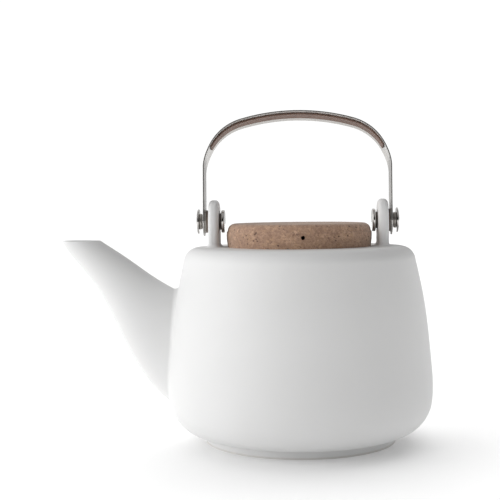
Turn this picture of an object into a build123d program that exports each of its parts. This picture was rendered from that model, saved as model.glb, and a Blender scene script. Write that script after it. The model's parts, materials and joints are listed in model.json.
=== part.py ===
from build123d import *
import math
import os

# A porcelain teapot with a cork lid, a hanging steel infuser and a folding strap handle.
# Millimetres. The origin is the middle of the foot ring on the table, +Z is up, the spout
# points along -X and the handle swings about an axis along X.

# ---- pot: overall ----
FOOT_RADIUS = 54.3
FOOT_HEIGHT = 4.4
FOOT_RING_WIDTH = 4.2
FOOT_RECESS = 2.8
TOP_HEIGHT = 110.7
SHOULDER_ROUND = 8.5
# (radius, height) up the outside of the belly, from above the foot to the shoulder line
BELLY = [(61.9, 6.2), (67.3, 9.2), (73.6, 18.0), (75.4, 31.0), (74.0, 52.0), (70.7, 80.0), (66.7, 100.0),
         (64.3, TOP_HEIGHT)]
POT_WALL = 4.0
POT_FLOOR = 7.8
SHOULDER_WALL = 5.4
MOUTH_RADIUS = 34.6
REBATE_RADIUS = 38.2
REBATE_DEPTH = 1.7
HOLLOW_FLOOR_RADIUS = 48.3
HOLLOW_TOP_RADIUS = 61.3
# the fired piece is one, but its foot and spout are nodes of their own: the foot is what lies
# below the inner floor, the spout what lies beyond a plane (x, z) that just clears the belly
SPOUT_CUT = ((-77.0, 20.0), (-72.5, 80.0))

# ---- spout: upper edge point, lower edge point (x, z) and half width of each section ----
SPOUT_SECTIONS = [
    ((-50.3, 74.2), (-66.0, 15.5), 15.0),
    ((-65.4, 82.8), (-84.5, 30.4), 14.0),
    ((-75.6, 88.8), (-95.5, 46.2), 12.6),
    ((-84.1, 94.0), (-103.4, 61.9), 11.4),
    ((-92.1, 99.7), (-110.0, 75.9), 10.2),
    ((-102.0, 106.7), (-118.2, 89.9), 9.2),
    ((-114.7, 115.1), (-129.2, 103.8), 8.2),
    ((-129.1, 124.6), (-138.0, 119.0), 7.0),
]
SPOUT_WALL_ROOT = 3.6
SPOUT_WALL_TIP = 1.7
SPOUT_TOP = 115.0
SPOUT_BLEND = 2.5
LIP_ROUND = 0.6

# ---- lugs that carry the handle ----
PIVOT_HEIGHT = 125.3
HANDLE_SHIFT = -0.4  # the lugs and all they carry sit this far along X from the pot's axis
LUG_RADIUS = 12.2
LUG_INNER = 45.1
LUG_OUTER = 50.9
LUG_ROUND = 2.4
LUG_BASE_BLEND = 2.4
LUG_BORE_RADIUS = 3.1
LUG_ROOT_DEPTH = 3.0
LUG_ZONE = (40.0, 56.0)

# ---- handle ----
HANDLE_LEAN = 15.0
STRAP_WIDTH = 16.6
STRAP_THICKNESS = 0.8
STRAP_OUTER = 53.7
STRAP_SHIFT = -0.4  # the strap stands this far along X from the middle between the lugs
STRAP_RISE = 63.8
CROWN_RADIUS, CROWN_ANGLE = 120.0, 15.8
CORNER_RADIUS, CORNER_ANGLE = 29.5, 74.2
TAB_STRAIGHT = 8.0
LINING_WIDTH = 8.2
LINING_THICKNESS = 0.8
LINING_CORNER_ANGLE = 47.0

# ---- pivot hardware: every station is a distance along X from the middle between the lugs ----
SHANK_RADIUS = 2.0
HEAD_RADIUS = 6.5
HEAD_INNER = 42.0
HEAD_THICKNESS = 1.9
HEAD_ROUND = 0.6
BUSH_BOSS_RADIUS = 3.4
BUSH_BOSS_LENGTH = 0.3
BUSH_FLANGE_RADIUS = 4.8
BUSH_FLANGE_THICKNESS = 0.8
FLANGE_ROUND = 0.3
RUNNING_GAP = 0.05
LEATHER_RADIUS = 6.4
LEATHER_THICKNESS = {-1: 1.4, 1: 1.0}  # by side, as are the steel washers: the strap isn't centred
STEEL_WASHER_RADIUS = 6.6
STEEL_WASHER_THICKNESS = {-1: 0.9, 1: 0.5}
SPRING_WASHER_RADIUS = 3.6
SPRING_WASHER_THICKNESS = 0.8
LOCK_NUT_RADIUS = 4.5
LOCK_NUT_THICKNESS = 1.6
LOCK_NUT_ROUND = 0.5
CAP_RADIUS = 7.0
CAP_RIM = 0.9
CAP_DOME = 0.9

# ---- lid ----
LID_RADIUS = 41.4
LID_HEIGHT = 13.3
LID_BARREL = 0.6
LID_TOP_ROUND = 4.2
LID_BOTTOM_ROUND = 0.4
PLUG_RADIUS = 32.3
PLUG_DEPTH = 9.1
PLUG_ROUND = 1.0
SEAL_GROOVE_DEPTH = 1.5
SEAL_HEIGHT = 3.2
SEAL_TOP = 107.2
SEAL_LIP_ROUND = 0.9
SEAL_GAP = 0.15
VENT_RADIUS = 1.15
VENT_HEIGHT = 116.8
VENT_REACH = 20.0
VENT_TURN = 3.0

# ---- infuser ----
SHEET = 0.5
FLANGE_RADIUS = 37.8
FLANGE_THICKNESS = 0.8
COLLAR_INNER = 33.5
COLLAR_BOTTOM = 97.0
BASKET_TOP = 101.0
BASKET_BOTTOM = 28.0
BASE_LIP = 3.0
HOLE_RADIUS = 1.2
HOLE_COLUMNS = 20
HOLE_ROWS = 8
HOLE_MARGIN_BOTTOM = 8.0
HOLE_MARGIN_TOP = 6.0
BASE_HOLE_RINGS = [(8.0, 6), (16.0, 12), (24.0, 18)]

SIDES = {"left": -1, "right": 1}
BLOCK = 400.0  # side of a cutting block that is larger than the pot


def inset(points, distance):
    """Points moved square to the outline, towards the axis, by the distance."""
    moved = []
    for i, (radius, height) in enumerate(points):
        before, after = points[max(i - 1, 0)], points[min(i + 1, len(points) - 1)]
        run, rise = after[0] - before[0], after[1] - before[1]
        length = math.hypot(run, rise)
        moved.append((radius - distance * rise / length, height + distance * run / length))
    return moved


def turned(lines):
    """The solid of revolution about Z of a closed outline drawn as (radius, height)."""
    return revolve(Plane.XZ * make_face(lines), Axis.Z)


def along_x(radius, start, end, bore=0.0):
    """A disc or ring about the pivot axis, from one X station to another."""
    centre = Plane.YZ.offset(min(start, end) + HANDLE_SHIFT) * Pos(0, PIVOT_HEIGHT)
    ring = centre * Circle(radius)
    if bore:
        ring -= centre * Circle(bore)
    return extrude(ring, abs(end - start))


def belly_solid():
    """The full outer form of the pot, foot ring included, without its hollow."""
    side = Spline([(FOOT_RADIUS, FOOT_HEIGHT)] + BELLY)
    base = Polyline((0, 0), (FOOT_RADIUS, 0), (FOOT_RADIUS, FOOT_HEIGHT))
    top = Polyline(BELLY[-1], (0, TOP_HEIGHT), (0, 0))
    form = turned(side + base + top)
    shoulder = form.edges().group_by(Axis.Z)[-1]
    return fillet(shoulder, SHOULDER_ROUND)


def hollow_solid():
    """The inside of the pot up to the underside of the shoulder."""
    under = TOP_HEIGHT - SHOULDER_WALL
    points = [p for p in inset(BELLY, POT_WALL) if POT_FLOOR + 1 < p[1] < under]
    side = Spline([(HOLLOW_FLOOR_RADIUS, POT_FLOOR)] + points + [(HOLLOW_TOP_RADIUS, under)])
    close = Polyline(side @ 1, (0, under), (0, POT_FLOOR), side @ 0)
    return turned(side + close)


def spout_solid(shrink_root, shrink_tip):
    """The spout lofted through its oval sections, each drawn in by a thickness that tapers to the tip."""
    sections = []
    last = len(SPOUT_SECTIONS) - 1
    for i, (upper, lower, half_width) in enumerate(SPOUT_SECTIONS):
        shrink = shrink_root + (shrink_tip - shrink_root) * i / last
        rise = Vector(upper[0] - lower[0], 0, upper[1] - lower[1])
        middle = Vector((upper[0] + lower[0]) / 2, 0, (upper[1] + lower[1]) / 2)
        plane = Plane(origin=middle, x_dir=rise, z_dir=rise.cross(Vector(0, 1, 0)))
        sections.append(plane * Ellipse(rise.length / 2 - shrink, half_width - shrink))
    return loft(sections)


def lug_solid(side):
    """An upright porcelain ear, round about the pivot, with soft edges."""
    inner = LUG_INNER if side > 0 else -LUG_OUTER
    start = Plane.YZ.offset(inner + HANDLE_SHIFT)
    shape = start * Pos(0, PIVOT_HEIGHT) * Circle(LUG_RADIUS)
    stem_height = PIVOT_HEIGHT - TOP_HEIGHT + LUG_ROOT_DEPTH
    shape += start * Pos(0, PIVOT_HEIGHT - stem_height / 2) * Rectangle(2 * LUG_RADIUS, stem_height)
    ear = extrude(shape, LUG_OUTER - LUG_INNER)
    bottom = PIVOT_HEIGHT - stem_height
    soft = [e for e in ear.edges() if e.center().Z > bottom + 0.01 and abs(e.tangent_at(0.5).X) < 0.5]
    return fillet(soft, LUG_ROUND)


def fired_piece():
    """The whole pot: belly, foot ring, shoulder, spout and lugs, with its hollow and mouth."""
    outer_spout = spout_solid(0, 0) & Pos(0, 0, SPOUT_TOP / 2) * Box(400, 100, SPOUT_TOP)
    body = belly_solid() + outer_spout
    body = fillet([e for e in body.edges() if on_seam(e)], SPOUT_BLEND)
    for side in SIDES.values():
        body += lug_solid(side)
    body = fillet([e for e in body.edges() if at_lug_root(e)], LUG_BASE_BLEND)
    body -= hollow_solid()
    body -= spout_solid(SPOUT_WALL_ROOT, SPOUT_WALL_TIP)
    body -= Pos(0, 0, TOP_HEIGHT) * Cylinder(MOUTH_RADIUS, 4 * SHOULDER_WALL)
    body -= Pos(0, 0, TOP_HEIGHT - REBATE_DEPTH / 2) * Cylinder(REBATE_RADIUS, REBATE_DEPTH)
    body -= Pos(0, 0, FOOT_RECESS / 2) * Cylinder(FOOT_RADIUS - FOOT_RING_WIDTH, FOOT_RECESS)
    for side in SIDES.values():
        body -= along_x(LUG_BORE_RADIUS, side * (LUG_INNER - 1), side * (LUG_OUTER + 1))
    return body


def at_lug_root(edge):
    """Does the edge lie flat on the shoulder where a lug rises from it?"""
    middle = edge.center()
    flat = edge.bounding_box().size.Z < 0.01 and abs(middle.Z - TOP_HEIGHT) < 0.01
    return flat and LUG_ZONE[0] < abs(middle.X) < LUG_ZONE[1]


def on_seam(edge):
    """Does the edge lie where the spout leaves the belly?"""
    middle = edge.center()
    box = edge.bounding_box()
    return middle.X < -60 and box.size.Z > 20 and box.max.X < -55 and box.min.X > -85


def beyond_spout_cut():
    """A block holding everything on the spout's side of the plane that just clears the belly."""
    low, high = (Vector(x, 0, z) for x, z in SPOUT_CUT)
    plane = Plane(origin=low, x_dir=high - low, z_dir=(high - low).cross(Vector(0, 1, 0)))
    block = Pos(0, 0, BLOCK / 2) * Box(BLOCK, BLOCK, BLOCK)
    return plane * block if plane.z_dir.X < 0 else plane * Pos(0, 0, -BLOCK) * block


def pot_nodes():
    """The fired piece as three nodes that meet face to face: belly with shoulder and lugs, foot, spout."""
    whole = fired_piece()
    low = Pos(0, 0, POT_FLOOR - BLOCK / 2) * Box(BLOCK, BLOCK, BLOCK)
    spout_side = beyond_spout_cut() - low
    spout = whole & spout_side
    lip = spout.edges().filter_by_position(Axis.Z, SPOUT_TOP - 0.01, SPOUT_TOP + 0.01)
    return {"pot_body": whole - low - spout_side, "pot_foot": whole & low, "spout": fillet(lip, LIP_ROUND)}


def lid_solid():
    """The cork lid: a barrel-sided disc with a plug below it, a seal groove and an elbow-shaped vent."""
    top = TOP_HEIGHT + LID_HEIGHT
    middle = TOP_HEIGHT + LID_HEIGHT / 2
    foot = LID_RADIUS - LID_BARREL
    side = ThreePointArc((foot, TOP_HEIGHT), (LID_RADIUS, middle), (foot, top))
    disc = turned(side + Polyline((foot, top), (0, top), (0, TOP_HEIGHT), (foot, TOP_HEIGHT)))
    disc = fillet(disc.edges().group_by(Axis.Z)[-1], LID_TOP_ROUND)
    disc = fillet(disc.edges().group_by(Axis.Z)[0], LID_BOTTOM_ROUND)
    plug_bottom = TOP_HEIGHT - PLUG_DEPTH
    plug = Pos(0, 0, (plug_bottom + TOP_HEIGHT + 1) / 2) * Cylinder(PLUG_RADIUS, PLUG_DEPTH + 1)
    plug = fillet(plug.edges().group_by(Axis.Z)[0], PLUG_ROUND)
    lid = disc + plug - seal_ring(PLUG_RADIUS + 1)
    turn = Rot(0, 0, VENT_TURN)
    level = Plane(origin=(0, -VENT_REACH, VENT_HEIGHT), z_dir=(0, -1, 0)) * Circle(VENT_RADIUS)
    lid -= turn * extrude(level, LID_RADIUS - VENT_REACH + 1)
    upright = Plane(origin=(0, -VENT_REACH, plug_bottom - 1)) * Circle(VENT_RADIUS)
    return lid - turn * extrude(upright, VENT_HEIGHT - plug_bottom + 1)


def seal_ring(outer):
    """A square-section ring in the plug's groove."""
    inner = PLUG_RADIUS - SEAL_GROOVE_DEPTH
    middle = Pos(0, 0, SEAL_TOP - SEAL_HEIGHT / 2)
    return middle * (Cylinder(outer, SEAL_HEIGHT) - Cylinder(inner, SEAL_HEIGHT))


def lid_seal():
    """A silicone ring whose soft lip just reaches the collar of the infuser."""
    ring = seal_ring(COLLAR_INNER - SEAL_GAP)
    rims = [e for e in ring.edges().filter_by(GeomType.CIRCLE) if e.radius > PLUG_RADIUS]
    return fillet(rims, SEAL_LIP_ROUND)


def infuser_rim():
    """The flange that hangs in the mouth's rebate, with a plain collar below it."""
    seat = TOP_HEIGHT - REBATE_DEPTH
    flange = Pos(0, 0, seat + FLANGE_THICKNESS / 2) * Cylinder(FLANGE_RADIUS, FLANGE_THICKNESS)
    height = seat + FLANGE_THICKNESS - COLLAR_BOTTOM
    collar = Pos(0, 0, COLLAR_BOTTOM + height / 2) * Cylinder(COLLAR_INNER + SHEET, height)
    rim = flange + collar - Pos(0, 0, COLLAR_BOTTOM + height / 2) * Cylinder(COLLAR_INNER, height)
    outer = [e for e in rim.edges().filter_by(GeomType.CIRCLE) if e.radius > FLANGE_RADIUS - 0.01]
    return fillet(outer, FLANGE_ROUND)


def infuser_wall():
    """The basket: a thin steel tube pierced by staggered rows of holes."""
    height = BASKET_TOP - BASKET_BOTTOM
    middle = Pos(0, 0, BASKET_BOTTOM + height / 2)
    wall = middle * (Cylinder(COLLAR_INNER, height) - Cylinder(COLLAR_INNER - SHEET, height))
    first, last = BASKET_BOTTOM + HOLE_MARGIN_BOTTOM, COLLAR_BOTTOM - HOLE_MARGIN_TOP
    punches = []
    for row in range(HOLE_ROWS):
        level = first + (last - first) * row / (HOLE_ROWS - 1)
        for column in range(HOLE_COLUMNS):
            turn = 360 / HOLE_COLUMNS * (column + row % 2 / 2)
            spot = Rot(0, 0, turn) * Pos(COLLAR_INNER, 0, level) * Rot(0, 90, 0)
            punches.append(spot * Cylinder(HOLE_RADIUS, 6 * SHEET))
    return wall - punches


def infuser_base():
    """A pierced disc closing the basket, with a short lip that grips the wall from outside."""
    disc = Pos(0, 0, BASKET_BOTTOM - SHEET / 2) * Cylinder(COLLAR_INNER + SHEET, SHEET)
    lip = Pos(0, 0, BASKET_BOTTOM + BASE_LIP / 2)
    lip *= Cylinder(COLLAR_INNER + SHEET, BASE_LIP) - Cylinder(COLLAR_INNER, BASE_LIP)
    punches = [Pos(0, 0, BASKET_BOTTOM) * Cylinder(HOLE_RADIUS, 4 * SHEET)]
    for radius, count in BASE_HOLE_RINGS:
        for i in range(count):
            spot = Rot(0, 0, 360 * i / count) * Pos(radius, 0, BASKET_BOTTOM)
            punches.append(spot * Cylinder(HOLE_RADIUS, 4 * SHEET))
    return disc + lip - punches


def half_arch(inset_by, corner_angle=CORNER_ANGLE):
    """The crown and corner of the strap's right half, drawn in by a distance: (across, above pivot)."""
    start = (0, STRAP_RISE - inset_by)
    crown = JernArc(start, (1, 0), CROWN_RADIUS - inset_by, -CROWN_ANGLE)
    corner = JernArc(crown @ 1, crown % 1, CORNER_RADIUS - inset_by, -corner_angle)
    return crown, corner


def band(face, width):
    """A half outline in the handle's plane, made into a strip of that width and mirrored to both sides."""
    half = extrude(Plane.XZ * face, width / 2, both=True)
    return half + mirror(half, Plane.YZ)


def leaning(solid):
    """The solid moved from an upright handle at the origin to its leaning rest place on the pivot."""
    return Pos(HANDLE_SHIFT + STRAP_SHIFT, 0, PIVOT_HEIGHT) * Rot(-HANDLE_LEAN, 0, 0) * solid


def handle_strap():
    """One bent steel strip: a low crown, two round corners, two straight arms and round end tabs."""
    tab_end = -STRAP_WIDTH / 2
    strap_inner = STRAP_OUTER - STRAP_THICKNESS
    crown, corner = half_arch(0)
    crown_in, corner_in = half_arch(STRAP_THICKNESS)
    outer_leg = Polyline(corner @ 1, (STRAP_OUTER, TAB_STRAIGHT), (STRAP_OUTER, tab_end))
    inner_leg = Polyline(corner_in @ 1, (strap_inner, TAB_STRAIGHT), (strap_inner, tab_end))
    ends = Line(crown @ 0, crown_in @ 0) + Line(outer_leg @ 1, inner_leg @ 1)
    strip = band(make_face(crown + corner + outer_leg + crown_in + corner_in + inner_leg + ends), STRAP_WIDTH)
    arms = Pos(0, STRAP_RISE / 2) * Rectangle(STRAP_WIDTH, STRAP_RISE)
    outline = Plane.YZ * (Circle(STRAP_WIDTH / 2) + arms)
    strip &= extrude(outline, 2 * STRAP_OUTER, both=True)
    bore = extrude(Plane.YZ * Circle(SHANK_RADIUS + RUNNING_GAP), 2 * STRAP_OUTER, both=True)
    return leaning(strip - bore)


def grip_lining():
    """A thin leather strip glued under the crown and corners of the strap."""
    crown, corner = half_arch(STRAP_THICKNESS, LINING_CORNER_ANGLE)
    crown_in, corner_in = half_arch(STRAP_THICKNESS + LINING_THICKNESS, LINING_CORNER_ANGLE)
    ends = Line(crown @ 0, crown_in @ 0) + Line(corner @ 1, corner_in @ 1)
    return leaning(band(make_face(crown + corner + crown_in + corner_in + ends), LINING_WIDTH))


def beyond_strap(side, distance):
    """The station at a distance outwards from the strap's outer face, or inwards where it is negative."""
    return side * (STRAP_OUTER + distance) + STRAP_SHIFT


def pivot_bolt(side):
    """A headed pin: the head faces the lid and the shank runs out through lug, strap and nut."""
    end = beyond_strap(side, SPRING_WASHER_THICKNESS + LOCK_NUT_THICKNESS + CAP_RIM / 2)
    head = along_x(HEAD_RADIUS, side * HEAD_INNER, side * (HEAD_INNER + HEAD_THICKNESS))
    head = fillet(head.edges(), HEAD_ROUND)
    return head + along_x(SHANK_RADIUS, side * (HEAD_INNER + 1), end)


def lug_bush(side):
    """A flanged nylon sleeve in the lug's bore, which keeps the steel off the porcelain."""
    bore = SHANK_RADIUS + RUNNING_GAP
    flange_start = LUG_INNER - BUSH_FLANGE_THICKNESS
    boss = along_x(BUSH_BOSS_RADIUS, side * (flange_start - BUSH_BOSS_LENGTH), side * flange_start, bore)
    flange = along_x(BUSH_FLANGE_RADIUS, side * flange_start, side * LUG_INNER, bore)
    return boss + flange + along_x(LUG_BORE_RADIUS, side * LUG_INNER, side * LUG_OUTER, bore)


def leather_washer(side):
    """A leather friction disc against the lug's outer face."""
    bore = SHANK_RADIUS + 4 * RUNNING_GAP
    return along_x(LEATHER_RADIUS, side * LUG_OUTER, side * (LUG_OUTER + LEATHER_THICKNESS[side]), bore)


def steel_washer(side):
    """A flat washer between the leather and the strap."""
    inner = -STRAP_THICKNESS - STEEL_WASHER_THICKNESS[side]
    return along_x(STEEL_WASHER_RADIUS, beyond_strap(side, inner), beyond_strap(side, -STRAP_THICKNESS),
                   SHANK_RADIUS + RUNNING_GAP)


def spring_washer(side):
    """A small washer outside the strap that keeps the joint tight."""
    return along_x(SPRING_WASHER_RADIUS, beyond_strap(side, 0), beyond_strap(side, SPRING_WASHER_THICKNESS),
                   SHANK_RADIUS + RUNNING_GAP)


def lock_nut(side):
    """A round nut with softened corners."""
    start, end = SPRING_WASHER_THICKNESS, SPRING_WASHER_THICKNESS + LOCK_NUT_THICKNESS
    nut = along_x(LOCK_NUT_RADIUS, beyond_strap(side, start), beyond_strap(side, end))
    nut = fillet(nut.edges(), LOCK_NUT_ROUND)
    return nut - along_x(SHANK_RADIUS + RUNNING_GAP, beyond_strap(side, start - 1), beyond_strap(side, end + 1))


def cap_disc(side):
    """A thin domed disc closing the outer end of the pin."""
    start = SPRING_WASHER_THICKNESS + LOCK_NUT_THICKNESS
    top = start + CAP_RIM + CAP_DOME
    dome_radius = (CAP_RADIUS ** 2 + CAP_DOME ** 2) / (2 * CAP_DOME)
    middle = beyond_strap(side, top - dome_radius) + HANDLE_SHIFT
    ball = Pos(middle, 0, PIVOT_HEIGHT) * Rot(0, 0, 90) * Sphere(dome_radius)
    cap = along_x(CAP_RADIUS, beyond_strap(side, start), beyond_strap(side, top + 1)) & ball
    return cap - along_x(SHANK_RADIUS + RUNNING_GAP, beyond_strap(side, start - 1),
                         beyond_strap(side, start + CAP_RIM / 2))


def main():
    os.makedirs("parts", exist_ok=True)
    nodes = pot_nodes() | {
        "cork_lid": lid_solid(),
        "lid_seal": lid_seal(),
        "infuser_rim": infuser_rim(),
        "infuser_wall": infuser_wall(),
        "infuser_base": infuser_base(),
        "handle_strap": handle_strap(),
        "grip_lining": grip_lining(),
    }
    pivot_pieces = [pivot_bolt, lug_bush, leather_washer, steel_washer, spring_washer, lock_nut, cap_disc]
    for name, side in SIDES.items():
        for piece in pivot_pieces:
            nodes[f"{piece.__name__}_{name}"] = piece(side)
    for name, solid in nodes.items():
        export_step(solid, f"parts/{name}.step")


main()
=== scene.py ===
import json
import math

import bmesh
import bpy
from mathutils import Matrix, Vector, noise

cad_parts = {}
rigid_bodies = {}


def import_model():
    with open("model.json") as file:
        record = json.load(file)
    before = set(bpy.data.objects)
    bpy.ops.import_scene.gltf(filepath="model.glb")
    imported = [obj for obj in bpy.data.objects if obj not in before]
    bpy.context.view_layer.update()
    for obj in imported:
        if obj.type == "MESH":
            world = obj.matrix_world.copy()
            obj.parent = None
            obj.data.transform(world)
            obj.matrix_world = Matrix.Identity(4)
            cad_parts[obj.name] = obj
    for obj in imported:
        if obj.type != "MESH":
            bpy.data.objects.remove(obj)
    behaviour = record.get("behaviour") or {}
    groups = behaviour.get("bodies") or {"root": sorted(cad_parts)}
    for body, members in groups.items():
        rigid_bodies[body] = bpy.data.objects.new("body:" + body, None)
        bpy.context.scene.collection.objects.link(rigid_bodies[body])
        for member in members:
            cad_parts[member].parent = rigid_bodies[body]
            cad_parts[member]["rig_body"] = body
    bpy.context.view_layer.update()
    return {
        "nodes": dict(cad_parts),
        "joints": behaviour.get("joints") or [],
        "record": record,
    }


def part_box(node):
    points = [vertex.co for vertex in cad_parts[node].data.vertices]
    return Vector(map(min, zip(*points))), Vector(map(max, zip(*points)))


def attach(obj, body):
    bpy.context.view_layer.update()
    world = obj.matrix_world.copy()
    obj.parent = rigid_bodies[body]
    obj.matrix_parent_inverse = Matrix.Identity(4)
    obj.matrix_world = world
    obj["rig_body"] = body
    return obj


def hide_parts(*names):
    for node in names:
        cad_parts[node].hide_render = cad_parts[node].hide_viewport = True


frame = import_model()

# The looks of a matt porcelain teapot with a cork lid, a steel strap handle and a lift-out
# steel infuser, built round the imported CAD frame. Metres, +Z up, the spout points along -X.

MM = 0.001
NODES = frame["nodes"]

SWING = next(joint for joint in frame["joints"] if joint["name"] == "handle_swing")
PIVOT = Vector(SWING["pos_m"])

# the handle's arch, drawn upright with the pivot at its origin: a low crown between two round corners
STRAP_SHIFT = -0.8 * MM
HANDLE_LEAN = math.radians(15.0)
STRAP_HALF_WIDTH = 8.3 * MM
STRAP_RISE = 63.8 * MM
CROWN_RADIUS, CROWN_ANGLE = 120.0 * MM, math.radians(15.8)
CORNER_RADIUS = 29.5 * MM

# the strap's bow across its width: its depth, the heights between which it fades in, and the distance
# from the middle at which it is all in the edges; the lining is trimmed to a share of its CAD width
STRAP_DISH = 0.75 * MM
DISH_FADE = (28.0 * MM, 44.0 * MM)
BOW_TURN = 52.0 * MM
LINING_TRIM = 0.83

# the cork lid: how it is rounded, its groove for the seal, its plug and its elbow-shaped vent
SHOULDER_TOP = 110.7 * MM
LID_TOP_ROUND = 4.2 * MM
LID_BARREL = 0.6 * MM
LID_SEAL_GROOVE = (104.0 * MM, 107.2 * MM)
LID_SEAL_DEPTH = 1.5 * MM
PLUG_RADIUS = 32.3 * MM
PLUG_ROUND = 1.0 * MM
VENT_RADIUS = 1.15 * MM
VENT_HEIGHT = 116.8 * MM
VENT_REACH = 20.0 * MM
VENT_TURN = math.radians(3.0)
LID_SEGMENTS = 560

# the infuser's sheet and its fine perforation
SHEET = 0.5 * MM
HOLE_RADIUS = 0.6 * MM
HOLE_PITCH = 2.2 * MM
PLAIN_BELOW, PLAIN_ABOVE = 5.0 * MM, 6.0 * MM
BASE_LIP = 3.0 * MM
HOLE_SIDES = 8

# the studio's walls: the direction's axis, where along it the light begins and is full, and its strength
STUDIO_WALLS = [
    ("Y", 0.25, 0.75, 0.56),
    ("X", -0.2, -0.85, 0.89),
    ("Z", 0.3, 0.9, 0.41),
]
LOW_WALL = ("X", 0.2, 0.85, 0.56)
LOW_WALL_TOP = (0.55, 0.15)

# the camera: its lens in millimetres, its place, and its turn, drop and roll in degrees
LENS_MM = 79.2
CAMERA_PLACE = (0.0, -0.6298, 0.13706)
CAMERA_TURN, CAMERA_DROP, CAMERA_ROLL = 2.56, 2.57, -0.607


# ---------------------------------------------------------------- node graphs

class Graph:
    """A small helper that adds shader nodes to one material and links them."""

    def __init__(self, tree):
        self.tree = tree

    def add(self, kind, inputs=(), **settings):
        """A node of that kind with its inputs linked or given their values."""
        node = self.tree.nodes.new(kind)
        for key, value in settings.items():
            setattr(node, key, value)
        for key, value in dict(inputs).items():
            if isinstance(value, bpy.types.NodeSocket):
                self.tree.links.new(value, node.inputs[key])
            else:
                node.inputs[key].default_value = value
        return node

    def place(self, stretch=(1, 1, 1), turn=(0, 0, 0)):
        """The object's own coordinates, turned and then stretched."""
        coords = self.add("ShaderNodeTexCoord").outputs["Object"]
        turned = self.add("ShaderNodeMapping", {"Vector": coords, "Rotation": turn}).outputs[0]
        return self.add("ShaderNodeMapping", {"Vector": turned, "Scale": stretch}).outputs[0]

    def noise(self, vector, size, detail=3.0, rough=0.5):
        """Fractal noise whose features are about size metres across."""
        return self.add("ShaderNodeTexNoise", {"Vector": vector, "Scale": 1 / size, "Detail": detail,
                                               "Roughness": rough}).outputs["Fac"]

    def cells(self, vector, size, output="Distance", feature="F1"):
        """Voronoi cells about size metres across."""
        inputs = {"Vector": vector, "Scale": 1 / size}
        return self.add("ShaderNodeTexVoronoi", inputs, feature=feature).outputs[output]

    def calc(self, operation, a, b=0.0):
        """One step of arithmetic on two values."""
        return self.add("ShaderNodeMath", {0: a, 1: b}, operation=operation).outputs[0]

    def fit(self, value, low, high, to_low=0.0, to_high=1.0, smooth=False):
        """The value's range low..high stretched onto to_low..to_high."""
        return self.add("ShaderNodeMapRange", {"Value": value, "From Min": low, "From Max": high,
                                               "To Min": to_low, "To Max": to_high},
                        interpolation_type="SMOOTHSTEP" if smooth else "LINEAR").outputs[0]

    def mix(self, amount, a, b):
        """The colour that lies that far from a to b."""
        node = self.add("ShaderNodeMix", data_type="RGBA")
        for key, value in ((0, amount), (6, a), (7, b)):
            if isinstance(value, bpy.types.NodeSocket):
                self.tree.links.new(value, node.inputs[key])
            else:
                node.inputs[key].default_value = value if key == 0 else (*value, 1)
        return node.outputs[2]

    def bump(self, height, depth, strength=1.0, over=None):
        """A relief of that depth in metres, laid over another relief."""
        inputs = {"Height": height, "Distance": depth, "Strength": strength}
        if over:
            inputs["Normal"] = over
        return self.add("ShaderNodeBump", inputs).outputs[0]

    def link(self, value, socket):
        self.tree.links.new(value, socket)


def shades(colour, darker, lighter):
    """Two shades of a colour."""
    return tuple(c * darker for c in colour), tuple(c * lighter for c in colour)


def new_material(name, **settings):
    """A material with plain values on its shader's own sockets, its graph and its shader."""
    material = bpy.data.materials.new(name)
    material.use_nodes = True
    shader = material.node_tree.nodes["Principled BSDF"]
    for key, value in settings.items():
        shader.inputs[key.replace("_", " ")].default_value = value
    return material, Graph(material.node_tree), shader


# ---------------------------------------------------------------- materials

def porcelain():
    """Matt white glaze: a faint unevenness of tone, a silky micro relief and a bare foot ring."""
    material, g, shader = new_material("porcelain", Roughness=0.52)
    place = g.place()
    tone = g.noise(place, 38 * MM, 2)
    white = g.mix(tone, (0.785, 0.785, 0.78), (0.81, 0.81, 0.808))
    height = g.add("ShaderNodeSeparateXYZ", {"Vector": place}).outputs["Z"]
    bare = g.fit(height, 1.3 * MM, 0.7 * MM)
    g.link(g.mix(bare, white, (0.70, 0.68, 0.655)), shader.inputs["Base Color"])
    g.link(g.fit(g.noise(place, 9 * MM, 4), 0.3, 0.7, 0.46, 0.58), shader.inputs["Roughness"])
    waves = g.bump(g.noise(place, 14 * MM, 2), 0.05 * MM, 0.35)
    grain = g.bump(g.noise(place, 0.6 * MM, 3, 0.6), 0.008 * MM, 0.5, waves)
    g.link(grain, shader.inputs["Normal"])
    return material


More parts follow.
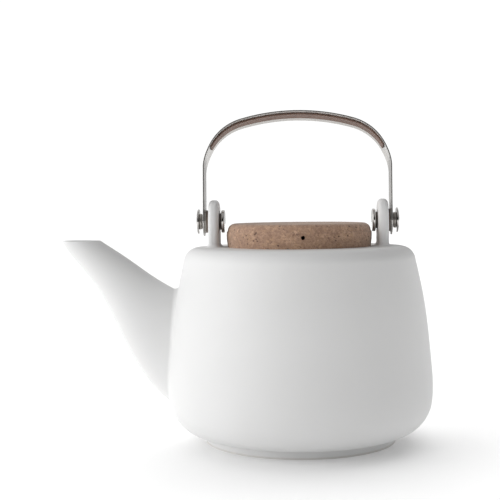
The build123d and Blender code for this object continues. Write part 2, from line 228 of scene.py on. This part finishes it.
def cork():
    """Fine agglomerated cork: small pressed granules close in tone, broader patches and dark open pores,
    darkened partly as the cork's own dark pores and partly as painted shade in the pits.
    """
    material, g, shader = new_material("cork", Roughness=0.86, Sheen_Weight=0.25, Sheen_Roughness=0.5)
    place = g.place()
    warp = g.add("ShaderNodeTexNoise", {"Vector": place, "Scale": 1 / (1.6 * MM), "Detail": 2.0})
    shift = g.add("ShaderNodeVectorMath", {0: warp.outputs["Color"], "Scale": 0.9 * MM}, operation="SCALE")
    bent = g.add("ShaderNodeVectorMath", {0: place, 1: shift.outputs[0]}, operation="ADD").outputs[0]
    large = g.add("ShaderNodeSeparateColor", {"Color": g.cells(bent, 1.5 * MM, "Color")})
    small = g.add("ShaderNodeSeparateColor", {"Color": g.cells(bent, 0.75 * MM, "Color")})
    granule = g.mix(large.outputs[0], (0.285, 0.163, 0.105), (0.63, 0.415, 0.282))
    granule = g.mix(g.fit(large.outputs[2], 0.6, 0.9, 0.0, 0.6), granule, (0.58, 0.365, 0.21))
    fleck = g.mix(small.outputs[1], (0.265, 0.15, 0.098), (0.65, 0.43, 0.295))
    colour = g.mix(0.45, granule, fleck)
    patches = g.fit(g.noise(place, 6 * MM, 4, 0.6), 0.38, 0.66, 0.0, 0.55)
    colour = g.mix(patches, colour, (0.335, 0.205, 0.146))
    streaks = g.fit(g.noise(g.place((1, 1, 2.2)), 1.7 * MM, 4, 0.6), 0.52, 0.70, 0.0, 0.5)
    colour = g.mix(streaks, colour, (0.24, 0.136, 0.094))
    # the depth of the pits in the lid's mesh, by which the colour below darkens them: partly the cork's own
    # dark pores, partly painted shade in the pits
    pore = g.add("ShaderNodeAttribute", attribute_name="pore").outputs["Fac"]
    speck = g.fit(g.noise(g.place((1, 1, 0.7)), 0.9 * MM, 3, 0.65), 0.64, 0.72, 0.0, 0.6)
    # darker in the random specks, which are the cork's own colour, and in the pits, where the darkening is
    # partly the cork's own pores and partly painted shade
    dark = g.calc("MAXIMUM", speck, g.fit(pore, 0.1, 0.6, 0.0, 0.85))
    colour = g.mix(dark, colour, (0.085, 0.045, 0.032))
    g.link(colour, shader.inputs["Base Color"])
    g.link(g.fit(small.outputs[0], 0, 1, 0.76, 0.95), shader.inputs["Roughness"])
    edge = g.cells(bent, 1.3 * MM, "Distance", "DISTANCE_TO_EDGE")
    relief = g.bump(g.fit(edge, 0.0, 0.25), 0.05 * MM, 0.5)
    relief = g.bump(g.calc("SUBTRACT", 1.0, speck), 0.12 * MM, 0.6, relief)
    relief = g.bump(g.noise(place, 0.35 * MM, 3, 0.6), 0.04 * MM, 0.5, relief)
    g.link(relief, shader.inputs["Normal"])
    return material


def brushed(name, colour, rough, stretch, turn=(0, 0, 0)):
    """Brushed steel: fine streaks along one direction, with soft handling marks."""
    material, g, shader = new_material(name, Metallic=1.0)
    lines = g.noise(g.place(stretch, turn), 0.22 * MM, 5, 0.65)
    marks = g.noise(g.place(), 7 * MM, 3)
    g.link(g.mix(lines, *shades(colour, 0.92, 1.06)), shader.inputs["Base Color"])
    streaks = g.fit(lines, 0.3, 0.7, rough - 0.04, rough + 0.06)
    g.link(g.calc("ADD", streaks, g.fit(marks, 0.35, 0.7, 0.0, 0.04)), shader.inputs["Roughness"])
    g.link(g.bump(lines, 0.004 * MM, 0.4), shader.inputs["Normal"])
    return material


def turned_steel(name, colour, rough, depth):
    """Steel finished on a lathe: fine rings about the pivot axis."""
    material, g, shader = new_material(name, Metallic=1.0)
    place = g.place()
    along, across, height = g.add("ShaderNodeSeparateXYZ", {"Vector": place}).outputs
    up = g.calc("SUBTRACT", height, PIVOT.z)
    radius = g.calc("SQRT", g.calc("ADD", g.calc("MULTIPLY", across, across), g.calc("MULTIPLY", up, up)))
    ringed = g.add("ShaderNodeCombineXYZ", {"X": radius, "Y": along}).outputs[0]
    rings = g.noise(ringed, 0.16 * MM, 3, 0.6)
    g.link(g.mix(rings, *shades(colour, 0.88, 1.06)), shader.inputs["Base Color"])
    marks = g.fit(g.noise(place, 2.5 * MM, 3), 0.3, 0.7, -0.03, 0.06)
    streaks = g.fit(rings, 0.3, 0.7, rough - 0.05, rough + 0.06)
    g.link(g.calc("ADD", streaks, marks), shader.inputs["Roughness"])
    g.link(g.bump(rings, depth, 0.5), shader.inputs["Normal"])
    return material


def leather(name, dark, light, pore, rough):
    """Smooth leather: pebbled grain, darker pores between the pebbles, darkened partly by the leather's own
    dye and partly as painted shade in the creases, and a slightly uneven dye.
    """
    material, g, shader = new_material(name, Specular_IOR_Level=0.4)
    place = g.place()
    edge = g.cells(place, pore, "Distance", "DISTANCE_TO_EDGE")
    dye = g.noise(place, 5 * MM, 4)
    colour = g.mix(dye, dark, light)
    # darker where the grain dips between the pebbles: partly the leather's own dye in the creases, partly
    # painted shade
    crease_dye_and_shade = g.fit(edge, 0.0, 0.16, 0.12, 0.0)
    g.link(g.mix(crease_dye_and_shade, colour, tuple(c * 0.55 for c in dark)), shader.inputs["Base Color"])
    gloss = g.fit(g.noise(place, 1.2 * MM, 3), 0.3, 0.7, rough - 0.06, rough + 0.1)
    g.link(gloss, shader.inputs["Roughness"])
    relief = g.bump(g.fit(edge, 0.0, 0.3), 0.03 * MM, 0.4)
    g.link(g.bump(g.noise(place, 0.12 * MM, 2), 0.006 * MM, 0.4, relief), shader.inputs["Normal"])
    return material


def moulded(name, colour, rough, grain, spread=0.15):
    """Moulded nylon or silicone: a fine even texture with small changes of tone and gloss."""
    material, g, shader = new_material(name)
    place = g.place()
    tone = g.noise(place, 4 * MM, 3)
    g.link(g.mix(tone, *shades(colour, 1 - spread, 1 + spread)), shader.inputs["Base Color"])
    gloss = g.fit(g.noise(place, 1.5 * MM, 2), 0.3, 0.7, rough - 0.05, rough + 0.08)
    g.link(gloss, shader.inputs["Roughness"])
    g.link(g.bump(g.noise(place, grain, 2), 0.01 * MM, 0.6), shader.inputs["Normal"])
    return material


LEANED = (HANDLE_LEAN, 0, 0)
MATERIALS = {
    "porcelain": porcelain(),
    "cork": cork(),
    "silicone": moulded("silicone", (0.66, 0.65, 0.62), 0.5, 0.4 * MM, 0.05),
    "infuser_steel": brushed("infuser_steel", (0.60, 0.59, 0.575), 0.27, (0.05, 0.05, 1)),
    "strap_steel": brushed("strap_steel", (0.50, 0.485, 0.465), 0.26, (0.03, 1, 0.03), LEANED),
    "polished_steel": turned_steel("polished_steel", (0.62, 0.60, 0.58), 0.13, 0.002 * MM),
    "dark_steel": turned_steel("dark_steel", (0.50, 0.47, 0.44), 0.36, 0.008 * MM),
    "washer_leather": leather("washer_leather", (0.24, 0.185, 0.155), (0.33, 0.265, 0.225), 0.45 * MM, 0.6),
    "lining_leather": leather("lining_leather", (0.16, 0.096, 0.072), (0.24, 0.15, 0.115), 0.6 * MM, 0.5),
    "nylon": moulded("nylon", (0.15, 0.125, 0.11), 0.42, 0.3 * MM),
}
SLOT_OF = {part["node"]: part["material_slot"] for part in frame["record"]["subparts"]}


def paint(obj, slot_name):
    """Gives every slot of an object the material of that record slot."""
    if not obj.material_slots:
        obj.data.materials.append(MATERIALS[slot_name])
    for holder in obj.material_slots:
        holder.material = MATERIALS[slot_name]


def add_piece(name, mesh, body, slot_name, *stands_for):
    """A finished mesh as a piece: painted, riding on its body and standing for CAD nodes."""
    obj = bpy.data.objects.new(name, mesh)
    bpy.context.scene.collection.objects.link(obj)
    paint(obj, slot_name)
    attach(obj, body)
    if stands_for:
        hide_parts(*stands_for)
    return obj


# ---------------------------------------------------------------- metal, leather and nylon parts

def softened(node, width):
    """A copy of a CAD node's mesh whose sharp edges are rounded off, so that they catch the light."""
    bm = bmesh.new()
    bm.from_mesh(NODES[node].data)
    bmesh.ops.remove_doubles(bm, verts=bm.verts, dist=1e-6)
    bmesh.ops.dissolve_limit(bm, angle_limit=math.radians(0.5), verts=bm.verts, edges=bm.edges)
    sharp = [e for e in bm.edges if len(e.link_faces) == 2 and e.calc_face_angle() > math.radians(40)]
    bmesh.ops.bevel(bm, geom=sharp, offset=width, offset_type="OFFSET", segments=3, profile=0.5,
                    affect="EDGES", clamp_overlap=True)
    if node in ("handle_strap", "grip_lining"):
        dish(bm, LINING_TRIM if node == "grip_lining" else 1.0)
    mesh = bpy.data.meshes.new(node + "_soft")
    bm.to_mesh(mesh)
    bm.free()
    mesh.shade_smooth()
    mesh.set_sharp_from_angle(angle=math.radians(40))
    return weighted(mesh)


def inward(point):
    """The direction square to the arch, towards its inside, at a point of the upright handle."""
    crown_height = STRAP_RISE - CROWN_RADIUS
    reach = CROWN_RADIUS - CORNER_RADIUS
    if math.atan2(abs(point.x), point.z - crown_height) < CROWN_ANGLE:
        return Vector((-point.x, 0, crown_height - point.z)).normalized()
    across = math.copysign(reach * math.sin(CROWN_ANGLE), point.x)
    return Vector((across - point.x, 0, crown_height + reach * math.cos(CROWN_ANGLE) - point.z)).normalized()


def dish(bm, trim):
    """Bows the strap a little across its width along its crown and corners.

    The middle line moves out at the top of the arch, and the long edges move in at its corners.
    The leather lining gets the same bow and is trimmed to a share of its CAD width.
    """
    lean = Matrix.Rotation(-HANDLE_LEAN, 4, "X")
    place = Matrix.Translation(PIVOT + Vector((STRAP_SHIFT, 0, 0))) @ lean
    for part in range(-3, 4):
        middle = place @ Vector((0, STRAP_HALF_WIDTH * part / 4, 0))
        bmesh.ops.bisect_plane(bm, geom=bm.verts[:] + bm.edges[:] + bm.faces[:], dist=1e-7,
                               plane_co=middle, plane_no=lean @ Vector((0, 1, 0)))
    back = place.inverted()
    fade_start, fade_end = DISH_FADE
    for vertex in bm.verts:
        point = back @ vertex.co
        rise = min(max((point.z - fade_start) / (fade_end - fade_start), 0.0), 1.0)
        outwards = 1 - min(1.0, (point.x / BOW_TURN) ** 2)
        amount = STRAP_DISH * ((point.y / STRAP_HALF_WIDTH) ** 2 - outwards) * rise * rise * (3 - 2 * rise)
        point.y *= trim
        vertex.co = place @ (point + inward(point) * amount)


def weighted(mesh):
    """The mesh with normals that keep its large faces flat and its rounded edges smooth."""
    def weigh(obj):
        obj.modifiers.new("weights", "WEIGHTED_NORMAL").keep_sharp = True

    return applied(mesh, weigh)


# how far the edges of each kind of part are rounded
EDGE_ROUNDS = {
    "handle_strap": 0.18 * MM, "grip_lining": 0.15 * MM, "pivot_bolt": 0.2 * MM, "lug_bush": 0.15 * MM,
    "leather_washer": 0.3 * MM, "steel_washer": 0.12 * MM, "spring_washer": 0.12 * MM,
    "lock_nut": 0.15 * MM, "cap_disc": 0.2 * MM,
}


def finish_hardware():
    """Every part of the handle and its pivots with rounded edges."""
    for node in NODES:
        kind = next((k for k in EDGE_ROUNDS if node.startswith(k)), None)
        if kind:
            body = NODES[node]["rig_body"]
            add_piece(node + "_finished", softened(node, EDGE_ROUNDS[kind]), body, SLOT_OF[node], node)


# ---------------------------------------------------------------- turned and cut shapes

def finished(bm, name, smooth_angle=40.0, modify=None):
    """The bmesh as a smooth-shaded mesh, with an optional modifier applied."""
    bmesh.ops.recalc_face_normals(bm, faces=bm.faces)
    mesh = bpy.data.meshes.new(name)
    bm.to_mesh(mesh)
    bm.free()
    if modify:
        mesh = applied(mesh, modify)
    mesh.shade_smooth()
    mesh.set_sharp_from_angle(angle=math.radians(smooth_angle))
    return mesh


def applied(mesh, modify):
    """The mesh as it is after the modifiers that the function puts on it."""
    obj = bpy.data.objects.new("modified", mesh)
    bpy.context.scene.collection.objects.link(obj)
    modify(obj)
    bpy.context.view_layer.update()
    graph = bpy.context.evaluated_depsgraph_get()
    result = bpy.data.meshes.new_from_object(obj.evaluated_get(graph))
    bpy.data.objects.remove(obj)
    result.materials.clear()
    return result


def spaced(outline, step):
    """The outline with points added so that none are further apart than the step."""
    points = [outline[0]]
    for a, b in zip(outline, outline[1:]):
        count = max(1, math.ceil(math.dist(a, b) / step))
        points += [(a[0] + (b[0] - a[0]) * i / count, a[1] + (b[1] - a[1]) * i / count)
                   for i in range(1, count + 1)]
    return points


def quarter(middle, radius, start, steps=8):
    """Points along a quarter circle, clockwise from the start angle in degrees."""
    angles = [math.radians(start - 90 * i / steps) for i in range(steps + 1)]
    return [(middle[0] + radius * math.cos(a), middle[1] + radius * math.sin(a)) for a in angles]


def lathe(bm, outline, segments):
    """A surface turned about Z from (radius, height) points that start and end on the axis."""
    rings = []
    for radius, height in outline:
        turns = [2 * math.pi * i / segments for i in range(segments)] if radius > 1e-6 else [0.0]
        rings.append([bm.verts.new((radius * math.cos(t), radius * math.sin(t), height)) for t in turns])
    for upper, lower in zip(rings, rings[1:]):
        for i in range(segments):
            j = (i + 1) % segments
            corners = [upper[i % len(upper)], upper[j % len(upper)]]
            corners += [lower[j % len(lower)], lower[i % len(lower)]]
            bm.faces.new(list(dict.fromkeys(corners)))


def rod(start, end, radius):
    """A closed round mesh between two points, used as a cutter."""
    bm = bmesh.new()
    turn = (end - start).to_track_quat("Z", "Y").to_matrix().to_4x4()
    place = Matrix.Translation((start + end) / 2) @ turn
    bmesh.ops.create_cone(bm, cap_ends=True, segments=32, radius1=radius, radius2=radius,
                          depth=(end - start).length, matrix=place)
    mesh = bpy.data.meshes.new("rod")
    bm.to_mesh(mesh)
    bm.free()
    return bpy.data.objects.new("rod", mesh)


def bored(mesh, start, end, radius):
    """The mesh with a round hole cut from one point to another."""
    cutter = rod(start, end, radius)
    bpy.context.scene.collection.objects.link(cutter)

    def cut(obj):
        modifier = obj.modifiers.new("bore", "BOOLEAN")
        modifier.object = cutter
        modifier.operation = "DIFFERENCE"
        modifier.solver = "EXACT"

    result = applied(mesh, cut)
    bpy.data.objects.remove(cutter)
    return result


# ---------------------------------------------------------------- cork lid

# the cork's open pores, large and small: their spacing, the cell noise above which a place has one, and
# their share of the full depth; a pore's width is a share of the spacing, more or less by the spread
PORES = ((2.6 * MM, 0.25, 1.0), (1.3 * MM, 0.45, 0.6))
PORE_WIDTH, PORE_SPREAD = 0.16, 0.2
PORE_DEPTH, GRAIN_DEPTH = 0.3 * MM, 0.05 * MM


def cork_pits(place):
    """How deep the open pores of the cork are at a point, from 0 to 1."""
    depth = 0.0
    for size, threshold, share in PORES:
        stretched = Vector((place.x, place.y, place.z * 1.5)) / size
        distances, nearest = noise.voronoi(stretched)
        pick = noise.cell(nearest[0] * 91.7)
        width = PORE_WIDTH + PORE_SPREAD * abs(noise.cell(nearest[0] * 53.3))
        if pick > threshold:
            depth = max(depth, share * max(0.0, 1.0 - (distances[0] / width) ** 2))
    return depth


def lid_outline(radius, top, bottom):
    """The lid's half section from the middle of its top to the middle of its plug."""
    foot, middle = radius - LID_BARREL, (top + SHOULDER_TOP) / 2
    corner = (foot - LID_TOP_ROUND, top - LID_TOP_ROUND)
    heights = [middle + (top - LID_TOP_ROUND - middle) * (1 - i / 4) for i in range(1, 9)]
    side = [(radius - LID_BARREL * ((height - middle) / (top - middle)) ** 2, height)
            for height in heights if height > SHOULDER_TOP]
    shown = [(0.0, top)] + quarter(corner, LID_TOP_ROUND, 90) + side + [(foot, SHOULDER_TOP)]
    groove = PLUG_RADIUS - LID_SEAL_DEPTH
    below = [(foot, SHOULDER_TOP), (PLUG_RADIUS, SHOULDER_TOP), (PLUG_RADIUS, LID_SEAL_GROOVE[1]),
             (groove, LID_SEAL_GROOVE[1]), (groove, LID_SEAL_GROOVE[0]), (PLUG_RADIUS, LID_SEAL_GROOVE[0])]
    below += quarter((PLUG_RADIUS - PLUG_ROUND, bottom + PLUG_ROUND), PLUG_ROUND, 0, 4) + [(0.0, bottom)]
    return spaced(shown, 0.45 * MM) + spaced(below, 1.2 * MM)[1:]


def vented(mesh, radius, bottom):
    """The lid with its vent: in from the side, then straight down through the plug."""
    out = Vector((math.sin(VENT_TURN), -math.cos(VENT_TURN), 0))
    inner, level = out * VENT_REACH, Vector((0, 0, VENT_HEIGHT))
    mesh = bored(mesh, inner + level, out * (radius + 3 * MM) + level, VENT_RADIUS)
    under, over = Vector((0, 0, bottom - 3 * MM)), level + Vector((0, 0, 0.3 * MM))
    return bored(mesh, inner + under, inner + over, VENT_RADIUS)


def cork_lid():
    """The lid turned from cork: pores and pressed granules in its surface, a seal groove and a vent."""
    low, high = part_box("cork_lid")
    radius, top, bottom = high[0], high[2], low[2]
    bm = bmesh.new()
    lathe(bm, lid_outline(radius, top, bottom), LID_SEGMENTS)
    bmesh.ops.recalc_face_normals(bm, faces=bm.faces)
    bm.normal_update()
    # each vertex keeps the depth of its pit, by which the cork material darkens the pits: partly the cork's
    # own dark pores, partly painted shade in them
    pore = bm.verts.layers.float.new("pore")
    for vertex in bm.verts:
        depth = cork_pits(vertex.co)
        grain = noise.noise(vertex.co / (0.9 * MM)) - 0.6
        vertex[pore] = depth
        vertex.co += vertex.normal * (GRAIN_DEPTH * grain - PORE_DEPTH * depth)
    mesh = vented(finished(bm, "cork_lid_turned", 60), radius, bottom)
    mesh.shade_smooth()
    mesh.set_sharp_from_angle(angle=math.radians(60))
    add_piece("cork_lid_turned", mesh, "lid", "cork", "cork_lid")


# ---------------------------------------------------------------- infuser

def thickened(obj):
    """Gives a sheet its thickness, half to each side."""
    modifier = obj.modifiers.new("thickness", "SOLIDIFY")
    modifier.thickness = SHEET
    modifier.offset = 0.0
    modifier.use_even_offset = True


def infuser_wall():
    """The basket's tube, with staggered rows of fine round holes between two plain bands."""
    low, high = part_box("infuser_wall")
    radius = high[0] - SHEET / 2
    bottom, top = low[2], high[2]
    columns = round(2 * math.pi * radius / HOLE_PITCH)
    rows = round((top - bottom - PLAIN_BELOW - PLAIN_ABOVE) / HOLE_PITCH)
    pitch_up = (top - bottom - PLAIN_BELOW - PLAIN_ABOVE) / rows
    pitch_round = 2 * math.pi * radius / columns
    bm = bmesh.new()

    def at(column, height):
        turn = 2 * math.pi * column / columns
        return bm.verts.new((radius * math.cos(turn), radius * math.sin(turn), height))

    # each hole sits in a tile one pitch wide and high, whose corners and edge middles go round it
    tile = [(1, 0), (1, 1), (0, 1), (-1, 1), (-1, 0), (-1, -1), (0, -1), (1, -1)]
    turns = [2 * math.pi * k / HOLE_SIDES for k in range(HOLE_SIDES)]
    for row in range(rows):
        level = bottom + PLAIN_BELOW + pitch_up * (row + 0.5)
        for column in range(columns):
            middle = column + row % 2 / 2
            edge = [at(middle + 0.5 * across, level + pitch_up / 2 * up) for across, up in tile]
            hole = [at(middle + HOLE_RADIUS * math.cos(turn) / pitch_round,
                       level + HOLE_RADIUS * math.sin(turn)) for turn in turns]
            for k in range(HOLE_SIDES):
                after = (k + 1) % HOLE_SIDES
                bm.faces.new((edge[k], edge[after], hole[after], hole[k]))
    for start, end in ((bottom, bottom + PLAIN_BELOW), (top - PLAIN_ABOVE, top)):
        for step in range(2 * columns):
            here, after = step / 2, step / 2 + 0.5
            bm.faces.new((at(here, start), at(after, start), at(after, end), at(here, end)))
    bmesh.ops.remove_doubles(bm, verts=bm.verts, dist=0.01 * MM)
    mesh = finished(bm, "infuser_wall_perforated", modify=thickened)
    add_piece("infuser_wall_perforated", mesh, "infuser", "infuser_steel", "infuser_wall")


def infuser_base():
    """The basket's base: a shallow drawn cup with fine holes all over its flat."""
    low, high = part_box("infuser_base")
    radius, level = high[0] - SHEET / 2, low[2] + SHEET / 2
    bm = bmesh.new()

    def ring(x, y, size, segments):
        turns = [2 * math.pi * i / segments for i in range(segments)]
        spots = [bm.verts.new((x + size * math.cos(t), y + size * math.sin(t), level)) for t in turns]
        return [bm.edges.new((spots[i - 1], spots[i])) for i in range(segments)]

    outline = ring(0, 0, radius, 180)
    reach = math.ceil(radius / HOLE_PITCH) + 1
    holes = []
    for row in range(-reach, reach + 1):
        for column in range(-reach, reach + 1):
            x = HOLE_PITCH * (column + row % 2 / 2)
            y = HOLE_PITCH * row * math.sqrt(3) / 2
            if math.hypot(x, y) < radius - 2 * HOLE_PITCH:
                holes += ring(x, y, HOLE_RADIUS, HOLE_SIDES)
    bmesh.ops.triangle_fill(bm, edges=outline + holes, use_beauty=True, use_dissolve=False, normal=(0, 0, 1))
    lifted = bmesh.ops.extrude_edge_only(bm, edges=outline)
    raised = [item for item in lifted["geom"] if isinstance(item, bmesh.types.BMVert)]
    bmesh.ops.translate(bm, verts=raised, vec=(0, 0, BASE_LIP + SHEET / 2))
    mesh = finished(bm, "infuser_base_perforated", modify=thickened)
    add_piece("infuser_base_perforated", mesh, "infuser", "infuser_steel", "infuser_base")


# ---------------------------------------------------------------- studio

def studio_world():
    """A white studio: walls behind, left and low on the right, a faint ceiling, plain white to the camera."""
    world = bpy.data.worlds.new("studio")
    world.use_nodes = True
    g = Graph(world.node_tree)
    output = world.node_tree.nodes["World Output"]
    direction = g.add("ShaderNodeTexCoord").outputs["Generated"]
    axes = g.add("ShaderNodeSeparateXYZ", {"Vector": direction})
    axis, edge, full, strength = LOW_WALL
    low = g.fit(axes.outputs["Z"], *LOW_WALL_TOP, 0.0, strength, smooth=True)
    light = g.calc("MULTIPLY", low, g.fit(axes.outputs[axis], edge, full, smooth=True))
    for axis, edge, full, strength in STUDIO_WALLS:
        light = g.calc("ADD", light, g.fit(axes.outputs[axis], edge, full, 0.0, strength, smooth=True))
    glow = g.add("ShaderNodeBackground", {"Color": (1, 1, 1, 1), "Strength": light})
    plain = g.add("ShaderNodeBackground", {"Color": (1, 1, 1, 1), "Strength": 1.05})
    seen = g.add("ShaderNodeLightPath").outputs["Is Camera Ray"]
    both = g.add("ShaderNodeMixShader", {0: seen, 1: glow.outputs[0], 2: plain.outputs[0]})
    g.link(both.outputs[0], output.inputs["Surface"])
    bpy.context.scene.world = world


def sun(name, azimuth, elevation, strength, spread):
    """A soft light from that side; azimuth 0 is the camera's side and 90 the object's right."""
    lamp = bpy.data.lights.new(name, "SUN")
    lamp.energy = strength
    lamp.angle = math.radians(spread)
    holder = bpy.data.objects.new(name, lamp)
    a, e = math.radians(azimuth), math.radians(elevation)
    toward = Vector((math.sin(a) * math.cos(e), -math.cos(a) * math.cos(e), math.sin(e)))
    holder.rotation_mode = "QUATERNION"
    holder.rotation_quaternion = toward.to_track_quat("Z", "Y")
    bpy.context.scene.collection.objects.link(holder)
    return holder


def floor():
    """A wide pale sheet under the pot, lit a little from within like a light table, and from behind."""
    bm = bmesh.new()
    bmesh.ops.create_grid(bm, x_segments=8, y_segments=8, size=6.0)
    mesh = bpy.data.meshes.new("floor")
    bm.to_mesh(mesh)
    bm.free()
    sheet = bpy.data.objects.new("floor", mesh)
    bpy.context.scene.collection.objects.link(sheet)
    material, g, shader = new_material("floor", Roughness=0.9, Specular_IOR_Level=0.1,
                                       Emission_Color=(1, 1, 1, 1), Emission_Strength=0.134)
    pale = g.mix(g.noise(g.place(), 0.4, 2), (0.85, 0.85, 0.85), (0.87, 0.87, 0.87))
    g.link(pale, shader.inputs["Base Color"])
    mesh.materials.append(material)
    lit = bpy.data.collections.new("lit_from_behind")
    lit.objects.link(sheet)
    sun("sweep", 180, 50, 2.04, 80).light_linking.receiver_collection = lit


def camera():
    """The view from just above the lid, turned slightly towards the spout."""
    lens = bpy.data.cameras.new("camera")
    lens.sensor_width = 36.0
    lens.lens = LENS_MM
    lens.clip_start, lens.clip_end = 0.02, 50.0
    holder = bpy.data.objects.new("camera", lens)
    turn = Matrix.Rotation(math.radians(CAMERA_TURN), 4, "Z")
    tilt = Matrix.Rotation(math.radians(90 - CAMERA_DROP), 4, "X")
    roll = Matrix.Rotation(math.radians(CAMERA_ROLL), 4, "Z")
    holder.matrix_world = Matrix.Translation(CAMERA_PLACE) @ turn @ tilt @ roll
    bpy.context.scene.collection.objects.link(holder)
    bpy.context.scene.camera = holder


# ---------------------------------------------------------------- the scene

for node_name, node_object in NODES.items():
    paint(node_object, SLOT_OF[node_name])
finish_hardware()
cork_lid()
infuser_wall()
infuser_base()
studio_world()
sun("key", -70, 16, 1.2, 60)
floor()
camera()
bpy.context.scene.view_settings.view_transform = "Standard"
